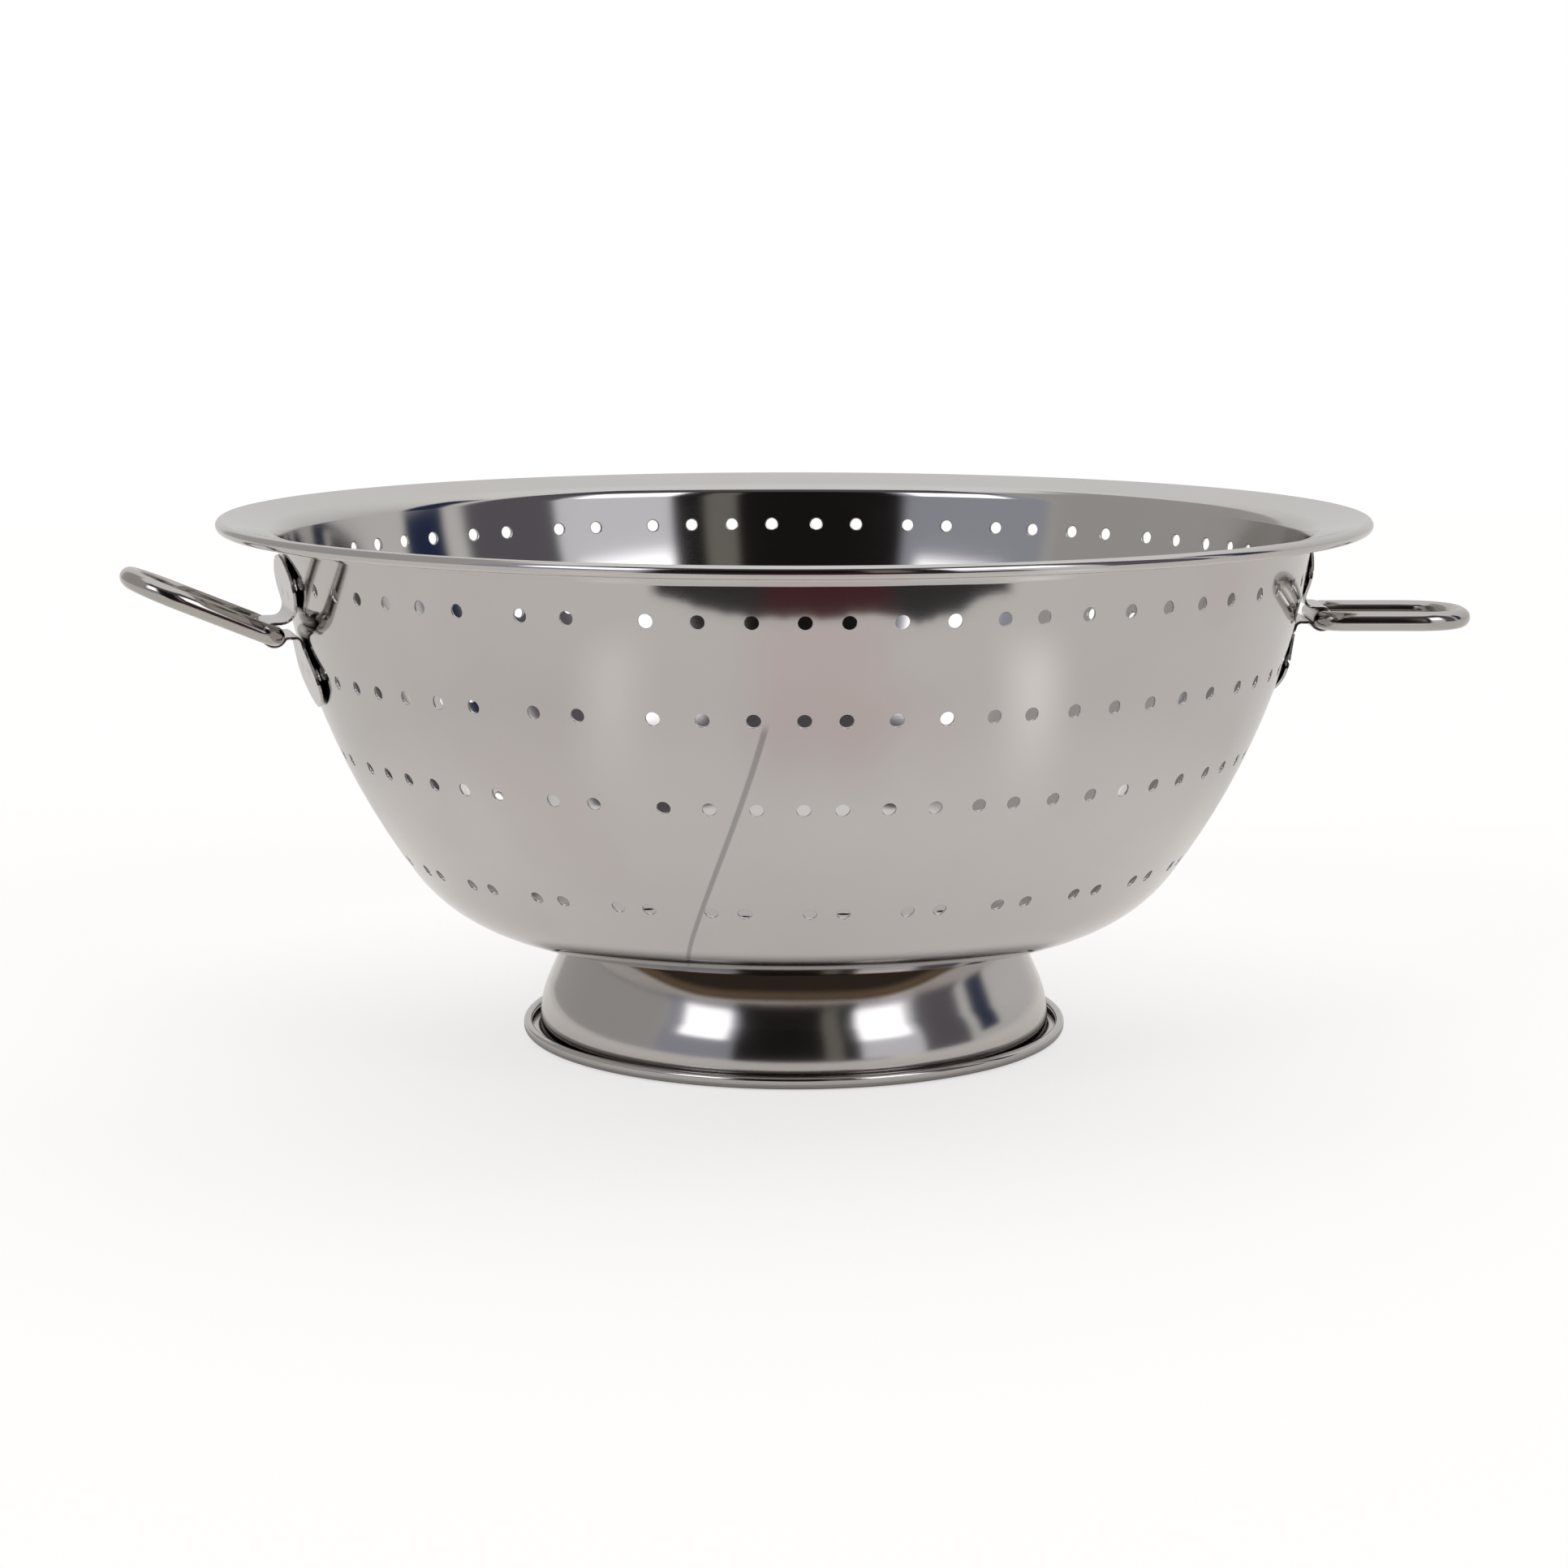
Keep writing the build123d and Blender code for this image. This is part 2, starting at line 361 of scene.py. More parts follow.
# %% [markdown]
# The bowl is one disc of 0.8 mm sheet, spun over a former: a flat floor, a tight corner, a long
# slow side, then a flared lip whose edge is rolled under so that it isn't sharp.

# %% Bowl
SHEET = 0.8
FLOOR_HEIGHT = 34.5
FLOOR_RADIUS = 81.0
CORNER_RADIUS, CORNER_TURN = 47.65, 53.95
SIDE_RADIUS, SIDE_TURN = 217.3, 29.2
LIP_BEND_RADIUS, LIP_SLOPE, LIP_WIDTH = 4.6, 13.0, 13.3
ROLL_DIAMETER, ROLL_TURN = 3.8, 285.0

half_sheet = SHEET / 2
bowl_moves = [
    ("run", FLOOR_RADIUS, 5),
    ("turn", CORNER_RADIUS - half_sheet, CORNER_TURN, 12),
    ("turn", SIDE_RADIUS - half_sheet, SIDE_TURN, 14),
    ("turn", LIP_BEND_RADIUS, LIP_SLOPE - CORNER_TURN - SIDE_TURN, 9),
    ("run", LIP_WIDTH, 2),
    ("turn", ROLL_DIAMETER / 2 - half_sheet, -ROLL_TURN, 18),
]
bowl_pen = sheet_section(0, FLOOR_HEIGHT + half_sheet, bowl_moves, SHEET)
bowl_table = section_table(bowl_pen)
bowl = spun("steel_bowl", bowl_pen)
report(bowl, "bowl")


# %% [markdown]
# A punch leaves a rounded mouth, so the cutter for the drain holes is a small spindle that flares
# at both skins of the sheet.

# %% Punch
HOLE_RADIUS = 2.0
MOUTH_ROUNDING, MOUTH_TURN = 0.2, 72.0
FLARE_LENGTH, PUNCH_OVERRUN = 0.6, 1.0
PUNCH_AROUND = 20

mouth = math.radians(MOUTH_TURN)
mouth_out = MOUTH_ROUNDING * (1 - math.cos(mouth))
mouth_down = MOUTH_ROUNDING * (1 - math.sin(mouth))
flare_out, flare_up = FLARE_LENGTH * math.sin(mouth), FLARE_LENGTH * math.cos(mouth)
spindle_radius = HOLE_RADIUS + mouth_out + flare_out
shank = PUNCH_OVERRUN - flare_up + mouth_down

spindle = Pen(0, -SHEET - PUNCH_OVERRUN)
spindle.run(spindle_radius)
spindle.heading = 90
spindle.run(shank)
spindle.heading = 90 + MOUTH_TURN
spindle.run(FLARE_LENGTH)
spindle.turn(MOUTH_ROUNDING, -MOUTH_TURN, 2)
spindle.run(SHEET - 2 * MOUTH_ROUNDING)
spindle.turn(MOUTH_ROUNDING, -MOUTH_TURN, 2)
spindle.run(FLARE_LENGTH)
spindle.heading = 90
spindle.run(shank)
spindle.heading = 180
spindle.run(spindle_radius)
punch = spun("punch", spindle, PUNCH_AROUND)
print("punch", len(punch.data.polygons), "faces")

# %% [markdown]
# The drain holes stand in pairs: three rows on the same meridians, one low row with its own, and
# rings in the floor. The pairs aren't quite even, because each was punched by hand. A row's height
# is a share of the side's height, and each seat is a place and a direction for one punch.

# %% Hole places
ROW_SHARES = (0.90418, 0.63643, 0.38143)
PAIR_GAP = 5.2
PAIR_PLACES = (
    0, 9.5, 20, 29.5, 40, 50.5, 62, 73, 84, 98.5, 108.5, 118, 129, 141, 152, 164,
    176, 187, 197.5, 210.5, 223.5, 235.5, 246, 257, 268, 279, 290, 302.5, 312.5, 323, 336, 349.5,
)
FIRST_PAIR = -99.5
LOW_ROW_SHARE, LOW_GAP, LOW_COUNT, LOW_FIRST = 0.06269, 4.4, 28, -93.7
FLOOR_RINGS = ((16.0, 6), (32.0, 12), (48.0, 18))

corner_turn = math.radians(CORNER_TURN)
corner_end = (
    FLOOR_RADIUS + CORNER_RADIUS * math.sin(corner_turn),
    FLOOR_HEIGHT + CORNER_RADIUS * (1 - math.cos(corner_turn)),
)
side_turn = math.radians(CORNER_TURN + SIDE_TURN)
side_rise = SIDE_RADIUS * (math.cos(corner_turn) - math.cos(side_turn))


def side_point(height):
    """Radius and tangent angle, in radians, of the bowl's outer skin at a height on its side."""
    tangent = math.acos(math.cos(corner_turn) - (height - corner_end[1]) / SIDE_RADIUS)
    return corner_end[0] + SIDE_RADIUS * (math.sin(tangent) - math.sin(corner_turn)), tangent


def row(share, gap, places):
    """Cutter places for pairs of holes at a share of the side's height."""
    height = corner_end[1] + share * side_rise
    radius, tangent = side_point(height)
    tip = Matrix.Rotation(math.pi - tangent, 4, "Y")
    seat = Matrix.Translation((radius * MM, 0, height * MM)) @ tip
    turns = [place + side * gap / 2 for place in places for side in (-1, 1)]
    return [Matrix.Rotation(math.radians(turn), 4, "Z") @ seat for turn in turns]


seats = []
for share in ROW_SHARES:
    seats += row(share, PAIR_GAP, [FIRST_PAIR + place for place in PAIR_PLACES])
low_places = [LOW_FIRST + index * 360 / LOW_COUNT for index in range(LOW_COUNT)]
seats += row(LOW_ROW_SHARE, LOW_GAP, low_places)
floor_top = Matrix.Translation((0, 0, (FLOOR_HEIGHT + SHEET) * MM))
seats.append(floor_top)
for ring_radius, count in FLOOR_RINGS:
    for index in range(count):
        turn = Matrix.Rotation(math.tau * index / count, 4, "Z")
        seats.append(turn @ Matrix.Translation((ring_radius * MM, 0, 0)) @ floor_top)
print("holes", len(seats))

# %% [markdown]
# One Boolean cuts every hole at once. The cutters are copies of the punch joined into one mesh, and
# their faces carry slot 1, so the cut walls can be told from the skins afterwards: they get their
# own finish, a sharp border, and leave the skins' exact normals alone.

# %% Punching
punches = bmesh.new()
for seat in seats:
    copy = punch.data.copy()
    copy.transform(seat)
    punches.from_mesh(copy)
    bpy.data.meshes.remove(copy)
for face in punches.faces:
    face.material_index = 1
cutters = linked("cutters", bpy.data.meshes.new("cutters"))
punches.to_mesh(cutters.data)
punches.free()
for holder in (bowl, cutters):
    for name in ("bowl_steel", "hole_steel"):
        holder.data.materials.append(material_named(name))

cut = bowl.modifiers.new("holes", "BOOLEAN")
cut.operation = "DIFFERENCE"
cut.solver = "MANIFOLD"
cut.object = cutters
baked(bowl)
for spare in (cutters, punch):
    bpy.data.objects.remove(spare)

edit = bmesh.new()
edit.from_mesh(bowl.data)
for edge in edit.edges:
    edge.smooth = len({face.material_index for face in edge.link_faces}) < 2
for face in edit.faces:
    face.smooth = True
edit.to_mesh(bowl.data)
edit.free()
true_normals(bowl, bowl_table)
report(bowl, "bowl")

# %% [markdown]
# The foot is a second sheet: an inner flange spot-welded under the floor, a cone, a short upright
# wall, and a turned-out rim with a small rolled lip at the table.

# %% Foot
FOOT_START, FOOT_TOP = 61.6, 33.9
FOOT_FLANGE, FOOT_BEND = 7.1, 1.4
FOOT_SLOPE, FOOT_WALL_BEND, FOOT_WALL_RUN = 24.0, 33.0, 1.52
FOOT_RIM_END = 84.0
FOOT_LIP_BEND, FOOT_LIP_RUN = 1.4, 0.8
FOOT_ROLL_BEND, FOOT_ROLL_TURN = 0.9, 215

slope = math.radians(FOOT_SLOPE)
cone_top = FOOT_TOP - FOOT_BEND * (1 - math.sin(slope))
cone_bottom = half_sheet + FOOT_BEND + FOOT_WALL_RUN + FOOT_WALL_BEND * math.sin(slope)
cone_length = (cone_top - cone_bottom) / math.cos(slope)
cone_radius = FOOT_START + FOOT_FLANGE + FOOT_BEND * math.cos(slope)
wall_radius = cone_radius + cone_length * math.sin(slope)
wall_radius += FOOT_WALL_BEND * (1 - math.cos(slope))
print("foot wall radius", round(wall_radius, 2))
foot_moves = [
    ("run", FOOT_FLANGE, 2),
    ("turn", FOOT_BEND, FOOT_SLOPE - 90, 8),
    ("run", cone_length, 6),
    ("turn", FOOT_WALL_BEND, -FOOT_SLOPE, 16),
    ("run", FOOT_WALL_RUN, 1),
    ("turn", FOOT_BEND, 90, 8),
    ("run", FOOT_RIM_END - wall_radius - FOOT_BEND, 1),
    ("turn", FOOT_LIP_BEND, 90, 8),
    ("run", FOOT_LIP_RUN, 1),
    ("turn", FOOT_ROLL_BEND, FOOT_ROLL_TURN, 14),
]
foot_pen = sheet_section(FOOT_START, FOOT_TOP, foot_moves, SHEET, near_end=True)
foot_table = section_table(foot_pen)
foot = spun("steel_foot", foot_pen)
true_normals(foot, foot_table)
report(foot, "foot_ring")


# %% [markdown]
# A strap starts as a flat bow-tie blank. It is folded in half round the handle's bar, its two
# lobes are bent out against the wall, and each lobe is spot-welded to the bowl. The mesh is made
# the same way: the blank's outline is drawn, cut into a grid, and folded along a section.

# %% Strap section
STRAP_SHARE, HINGE_STANDOFF = 0.75412, 8.429
STRAP_HEIGHT = corner_end[1] + STRAP_SHARE * side_rise
HINGE_RADIUS = side_point(STRAP_HEIGHT)[0] + HINGE_STANDOFF
LOBE_REACH, LOBE_SEAT_GAP = 23.0, 0.25
NECK_DROP, UPPER_ROOT_BEND, ROOT_BEND, BARREL_BEND = 1.0, 4.0, 2.2, 1.5
WIRE_DIAMETER, BAR_CLEARANCE = 5.9, 0.08
RIGHT_TURN, LEFT_TURN = math.radians(-8), math.radians(188)


def lobe_seat(direction):
    """Middle of a lobe's sheet and the wall's tangent angle there."""
    height = STRAP_HEIGHT + direction * LOBE_REACH / 2
    radius, tangent = side_point(height)
    gap = LOBE_SEAT_GAP + half_sheet
    return radius + gap * math.sin(tangent), height - gap * math.cos(tangent), tangent


def root(seat, height):
    """Radius where a lobe's middle line meets the neck's middle line."""
    x, z, tangent = seat
    return x + (height - z) / math.tan(tangent)


def strap_section():
    """The strap's middle line from tip to tip: a lobe, the barrel round the bar, a lobe."""
    barrel = WIRE_DIAMETER / 2 + BAR_CLEARANCE + half_sheet
    upper, lower = lobe_seat(1), lobe_seat(-1)
    over, under = STRAP_HEIGHT + barrel, STRAP_HEIGHT - NECK_DROP
    upper_root, lower_root = root(upper, over), root(lower, under)
    upper_setback = UPPER_ROOT_BEND * math.tan((math.pi - upper[2]) / 2)
    lower_setback = ROOT_BEND * math.tan(lower[2] / 2)
    upper_length = (LOBE_REACH - barrel) / math.sin(upper[2])
    lower_length = (LOBE_REACH - NECK_DROP) / math.sin(lower[2])
    open_deg = 90 - math.degrees(math.asin((NECK_DROP + BARREL_BEND) / (barrel + BARREL_BEND)))
    upper_deg, lower_deg = math.degrees(upper[2]), math.degrees(lower[2])
    tip = (upper_root + upper_length * math.cos(upper[2]), over + upper_length * math.sin(upper[2]))
    pen = Pen(*tip, upper_deg - 180)
    pen.run(upper_length - upper_setback, 14)
    pen.turn(UPPER_ROOT_BEND, 180 - upper_deg, 12)
    pen.run(HINGE_RADIUS - pen.points[-1].co.x, 2)
    pen.turn(barrel, -180 - open_deg, 28)
    pen.turn(BARREL_BEND, open_deg, 6)
    pen.run(pen.points[-1].co.x - lower_root - lower_setback, 2)
    pen.turn(ROOT_BEND, lower_deg, 8)
    pen.run(lower_length - lower_setback, 16)
    return pen


strap_pen = strap_section()
strap_line = np.array([(point.co.x, point.co.z) for point in strap_pen.points])
strides = np.hypot(*np.diff(strap_line, axis=0).T)
strap_places = np.concatenate([[0], np.cumsum(strides)])
strap_length = float(strap_places[-1])
strap_pen.mesh.free()
print("strap blank", round(strap_length, 1), "mm long")

# %% [markdown]
# The blank is as long as the section. Its lobes have crowned ends and round corners, and its sides
# draw in to a waist at the barrel. Cuts at each bend and at every millimetre across let it fold.

# %% Strap blank
LOBE_HALF_WIDTH, LOBE_CROWN, LOBE_CORNER = 21.0, 9.0, 4.5
WAIST_HALF_WIDTH, WAIST_START, WAIST_CORNER = 11.0, 19.7, 3.0
GRID_REACH = 20


def half_outline(pen):
    """One side of the bow-tie, from the middle of one crown to the middle of the other."""
    crown = (LOBE_HALF_WIDTH ** 2 + LOBE_CROWN ** 2) / (2 * LOBE_CROWN)
    inward = LOBE_HALF_WIDTH - WAIST_HALF_WIDTH
    back = WAIST_START - LOBE_CROWN
    flank = math.atan2(back, inward)
    reach = LOBE_HALF_WIDTH * math.sin(flank) - (crown - LOBE_CROWN) * math.cos(flank) - LOBE_CORNER
    crown_deg = math.degrees(math.asin(reach / (crown - LOBE_CORNER)) + math.pi / 2 - flank)
    flank_deg = math.degrees(flank)
    corner_deg = 180 - flank_deg - crown_deg
    waist_deg = 90 - flank_deg
    side_x = abs(pen.points[-1].co.x)
    pen.turn(crown, -crown_deg, 12)
    pen.turn(LOBE_CORNER, -corner_deg, 8)
    reached = abs(pen.points[-1].co.x) - side_x
    fall_in = WAIST_CORNER * (1 - math.cos(math.radians(waist_deg)))
    flank_run = (reached - WAIST_HALF_WIDTH - fall_in) / math.cos(flank)
    pen.run(flank_run)
    pen.turn(WAIST_CORNER, waist_deg, 4)
    place = pen.points[-1].co
    gone = -place.z if place.x > 0 else strap_length + place.z
    pen.run(strap_length - 2 * gone)
    pen.turn(WAIST_CORNER, waist_deg, 4)
    pen.run(flank_run)
    pen.turn(LOBE_CORNER, -corner_deg, 8)
    pen.turn(crown, -crown_deg, 12)


def strap_blank():
    """The flat bow-tie, cut into the grid that the folding moves."""
    pen = Pen(0, 0)
    half_outline(pen)
    half_outline(pen)
    mesh = pen.mesh
    bmesh.ops.remove_doubles(mesh, verts=mesh.verts, dist=0.01)
    bmesh.ops.contextual_create(mesh, geom=mesh.edges[:])
    columns = range(-GRID_REACH, GRID_REACH + 1)
    cuts = [(Vector((0, 0, -place)), Vector((0, 0, 1))) for place in strap_places[1:-1]]
    cuts += [(Vector((x, 0, 0)), Vector((1, 0, 0))) for x in columns]
    for place, normal in cuts:
        geometry = mesh.verts[:] + mesh.edges[:] + mesh.faces[:]
        bmesh.ops.bisect_plane(mesh, geom=geometry, plane_co=place, plane_no=normal, dist=0.001)
    return mesh


blank = strap_blank()
print("blank faces", len(blank.faces))

# %% [markdown]
# Folding moves each vertex of the blank to its place on the section. The lobes stay flat on the
# round wall, so their ends stand off it a little, and each weld electrode leaves a shallow dimple.

# %% Strap folding
WELD_SPREAD, DIMPLE_RADIUS, DIMPLE_DEPTH = 12.0, 2.3, 0.3
EDGE_ROUNDING, EDGE_ANGLE_DEG = 0.15, 50


def fold(mesh):
    """Moves the blank's vertices to their places on the section."""
    lengths = [-vertex.co.z for vertex in mesh.verts]
    across = np.interp(lengths, strap_places, strap_line[:, 0])
    heights = np.interp(lengths, strap_places, strap_line[:, 1])
    for vertex, x, z in zip(mesh.verts, across, heights):
        y = vertex.co.x
        off = abs(z - STRAP_HEIGHT)
        dip = 0
        for weld in (-WELD_SPREAD / 2, WELD_SPREAD / 2):
            gap = math.hypot(y - weld, off - LOBE_REACH / 2)
            if gap < DIMPLE_RADIUS:
                dip = max(dip, DIMPLE_DEPTH * (1 + math.cos(math.pi * gap / DIMPLE_RADIUS)) / 2)
        vertex.co = (x - dip, y, z)


fold(blank)
right_strap = finished("right_strap", blank)
wall = right_strap.modifiers.new("sheet", "SOLIDIFY")
wall.thickness = SHEET * MM
wall.offset = 0
wall.use_even_offset = True
edge = right_strap.modifiers.new("edges", "BEVEL")
edge.width = EDGE_ROUNDING * MM
edge.segments = 2
edge.limit_method = "ANGLE"
edge.angle_limit = math.radians(EDGE_ANGLE_DEG)
weights = right_strap.modifiers.new("weights", "WEIGHTED_NORMAL")
weights.keep_sharp = False
baked(right_strap)
left_strap = linked("left_strap", right_strap.data.copy())
right_strap.data.transform(Matrix.Rotation(RIGHT_TURN, 4, "Z"))
left_strap.data.transform(Matrix.Rotation(LEFT_TURN, 4, "Z"))
report(right_strap, "right_handle_strap")
report(left_strap, "left_handle_strap")


# %% [markdown]
# Each handle is a ring of 6 mm wire. A circle is pushed along the straight runs and spun round
# each bend, as the wire was bent round four posts, and the ends meet in the strap's barrel.

# %% Ring handles
RING_WIDTH, RING_REACH = 34.5, 44.2
BAR_CORNER, END_CORNER = 5.5, 15.0
LEFT_TILT = 23.0
WIRE_AROUND, BEND_STEPS = 32, 14


def ring_mesh():
    """The wire, level, with its straight bar on the Y axis and its far end towards +X."""
    mesh = bmesh.new()
    upright = Matrix.Rotation(math.pi / 2, 4, "X")
    radius = WIRE_DIAMETER / 2
    bmesh.ops.create_circle(mesh, segments=WIRE_AROUND, radius=radius, matrix=upright)
    loop = mesh.verts[:] + mesh.edges[:]
    half = RING_WIDTH / 2

    def push(loop, x, y, pieces=1):
        stride = (x / pieces, y / pieces, 0)
        grown = bmesh.ops.spin(mesh, geom=loop, cent=(0, 0, 0), dvec=stride, steps=pieces)
        return grown["geom_last"]

    def bend(loop, x, y):
        quarter = {"axis": (0, 0, 1), "angle": math.pi / 2, "steps": BEND_STEPS}
        grown = bmesh.ops.spin(mesh, geom=loop, cent=(x, y, 0), **quarter)
        return grown["geom_last"]

    loop = push(loop, 0, -(half - BAR_CORNER))
    loop = bend(loop, BAR_CORNER, -(half - BAR_CORNER))
    loop = push(loop, RING_REACH - BAR_CORNER - END_CORNER, 0, 4)
    loop = bend(loop, RING_REACH - END_CORNER, -(half - END_CORNER))
    loop = push(loop, 0, 2 * (half - END_CORNER), 2)
    loop = bend(loop, RING_REACH - END_CORNER, half - END_CORNER)
    loop = push(loop, -(RING_REACH - BAR_CORNER - END_CORNER), 0, 4)
    loop = bend(loop, BAR_CORNER, half - BAR_CORNER)
    push(loop, 0, -(half - BAR_CORNER))
    bmesh.ops.remove_doubles(mesh, verts=mesh.verts, dist=0.01)
    bmesh.ops.recalc_face_normals(mesh, faces=mesh.faces)
    return mesh


def ring(name, tilt, turn):
    """A ring handle in its strap, tilted up by so many degrees."""
    mesh = ring_mesh()
    tip = Matrix.Rotation(math.radians(-tilt), 4, "Y")
    out = Matrix.Translation((HINGE_RADIUS, 0, STRAP_HEIGHT))
    place = Matrix.Rotation(turn, 4, "Z") @ out @ tip
    bmesh.ops.transform(mesh, matrix=place, verts=mesh.verts)
    return finished(name, mesh)


right_ring = ring("right_wire_ring", 0, RIGHT_TURN)
left_ring = ring("left_wire_ring", LEFT_TILT, LEFT_TURN)
report(right_ring, "right_ring_handle")
report(left_ring, "left_ring_handle")


# %% [markdown]
# Each new piece rides on its CAD body, and the CAD node that it is made again from is hidden. The
# plan also names each piece's finish.

# %% Into the frame
plan = (
    (bowl, "bowl_body", "bowl", "bowl_steel"),
    (foot, "bowl_body", "foot_ring", "foot_steel"),
    (left_strap, "bowl_body", "left_handle_strap", "strap_steel"),
    (right_strap, "bowl_body", "right_handle_strap", "strap_steel"),
    (left_ring, "left_ring", "left_ring_handle", "wire_steel"),
    (right_ring, "right_ring", "right_ring_handle", "wire_steel"),
)
for piece, body, node, finish in plan:
    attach(piece, body)
    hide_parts(node)
print("pieces in the frame", len(plan))


# %% [markdown]
# Polished stainless steel reflects a little over half of the light and is faintly warm. Its
# surface isn't perfect: the sheet waves a little, polishing leaves fine rings, and handling leaves
# cloudy smudges. The waves are what make a reflected edge wander. The bowl has one long thin
# streak down its front. The crevice above the foot is painted dark, further down on the side
# that faces the camera: painted shade, for the shaded underside that the steel reflects there.

# %% Steel
CLOUD_SCALE, STAIN_SCALE, WAVE_SCALE, POLISH_LINES = 22.0, 14.0, 16.0, 1500.0
STREAK_LOW, STREAK_HIGH, STREAK_SOFT = 0.041, 0.117, 0.002
STREAK_TOP, STREAK_DEG, STREAK_LEAN, STREAK_BEND = 0.119, 10.7, 103.6, 985.0
CREVICE_DEPTH, CREVICE_WANDER = 0.0062, 0.0012
# Painted shade above the foot: brown from about 30 mm up, near black from about 33 mm up.
CREVICE_SHADE_TONES = (
    # bottom, top, colour
    (0.0303, 0.0318, (0.17, 0.125, 0.08, 1.0)),
    (0.0325, 0.0345, (0.05, 0.038, 0.03, 1.0)),
)


def steel(name, level, warmth, rough, waves=0.0, rings=0.0, streak=False, crevice=False):
    """A steel of some brightness, warmth and roughness. Waves and rings are heights in metres."""
    material = material_named(name)
    material.use_nodes = True
    shader = Shader(material.node_tree)
    place = shader.place()
    x, y, z = shader.axes(place)
    cloud = shader.noise(place, CLOUD_SCALE, 4.0)
    stain = shader.noise(place, STAIN_SCALE, 2.0).ramp(0.56, 0.72)
    tint = shader.mix(cloud, grey(level * 0.95, warmth), grey(level * 1.05, warmth))
    tint = shader.mix(stain * 0.5, tint, (level, level * 0.90, level * 0.88, 1.0))
    # Painted shade: the top of the foot is darkened, reaching further down where it faces the
    # camera, for the shaded underside it reflects.
    if crevice:
        toward = x * camera_out.x + y * camera_out.y
        front = toward * toward * (1 / (x * x + y * y))
        crevice_shade = z + front.ramp(0.45, 0.95) * CREVICE_DEPTH + cloud * CREVICE_WANDER
        for low, high, shade_tone in CREVICE_SHADE_TONES:
            tint = shader.mix(crevice_shade.ramp(low, high), tint, shade_tone)
    if streak:
        fall = STREAK_TOP - z
        line = x.angle_from(0 - y) + STREAK_DEG + fall * STREAK_LEAN + fall * fall * STREAK_BEND
        length = z.inside(STREAK_LOW, STREAK_HIGH, STREAK_SOFT)
        mark = (1 - abs(line).ramp(0.2, 0.45)) * length
        tint = shader.mix(mark * 0.6, tint, grey(level * 0.4))
    radius = (x * x + y * y).root()
    lathe = [radius * POLISH_LINES, z * POLISH_LINES, 0.0]
    polish = shader.noise(shader.node("ShaderNodeCombineXYZ", {}, lathe), 1.0, 2.0)
    wave = shader.noise(place, WAVE_SCALE, 1.0)
    bump = shader.node("ShaderNodeBump", {}, {"Height": wave, "Distance": waves, "Strength": 1.0})
    fine_inputs = {"Height": polish, "Distance": rings, "Strength": 1.0, "Normal": bump}
    fine = shader.node("ShaderNodeBump", {}, fine_inputs)
    inputs = {
        "Base Color": tint,
        "Metallic": 1.0,
        "Roughness": rough + cloud * 0.03 + stain * 0.04,
        "Normal": fine,
    }
    surface = shader.node("ShaderNodeBsdfPrincipled", {}, inputs)
    shader.node("ShaderNodeOutputMaterial", {}, {"Surface": surface})
    return material


steel("bowl_steel", 0.58, 0.028, 0.07, waves=0.0003, rings=0.000001, streak=True)
steel("hole_steel", 0.55, 0.02, 0.22)
steel("foot_steel", 0.52, 0.03, 0.12, waves=0.0001, rings=0.000001, crevice=True)
steel("strap_steel", 0.5, 0.02, 0.1, waves=0.00005)
steel("wire_steel", 0.48, 0.05, 0.1, waves=0.00003)
weld_steel = steel("weld_steel", 0.4, 0.03, 0.35)
print("steels", [material.name for material in bpy.data.materials])

# %% [markdown]
# The bowl has its two slots already. Every other piece gets its one finish, and so does each CAD
# node, which matters for the weld nuggets: they show as the CAD has them.

# %% Finishes
finishes = {}
for piece, _, node, finish in plan:
    finishes[node] = material_named(finish)
    if not piece.data.materials:
        piece.data.materials.append(finishes[node])
for name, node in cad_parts.items():
    finish = finishes.get(name, weld_steel)
    if node.material_slots:
        for slot in node.material_slots:
            slot.material = finish
    else:
        node.data.materials.append(finish)
print("finishes", len(finishes), "nodes", len(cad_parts))


# %% [markdown]
# Polished steel shows nothing but the room around it, so the room is drawn as carefully as the
# piece: dark behind the camera, a soft white lamp on each side of it, pale walls further round,
# and pure white where the camera looks past the piece. Angles are measured from the camera's side.

# %% Room
world = bpy.data.worlds.new("room")
bpy.context.scene.world = world
world.use_nodes = True
room = Shader(world.node_tree)
east, north, up = room.axes(room.node("ShaderNodeTexCoord", out="Generated"))
right = east * math.cos(camera_side) + north * math.sin(camera_side)
ahead = north * math.cos(camera_side) - east * math.sin(camera_side)
azimuth = right.angle_from(0 - ahead)
height = up.math("ARCSINE", up) * math.degrees(1)
sky = room.mix(height.ramp(-10, 70), grey(0.62, 0.02), grey(0.95, 0.0))

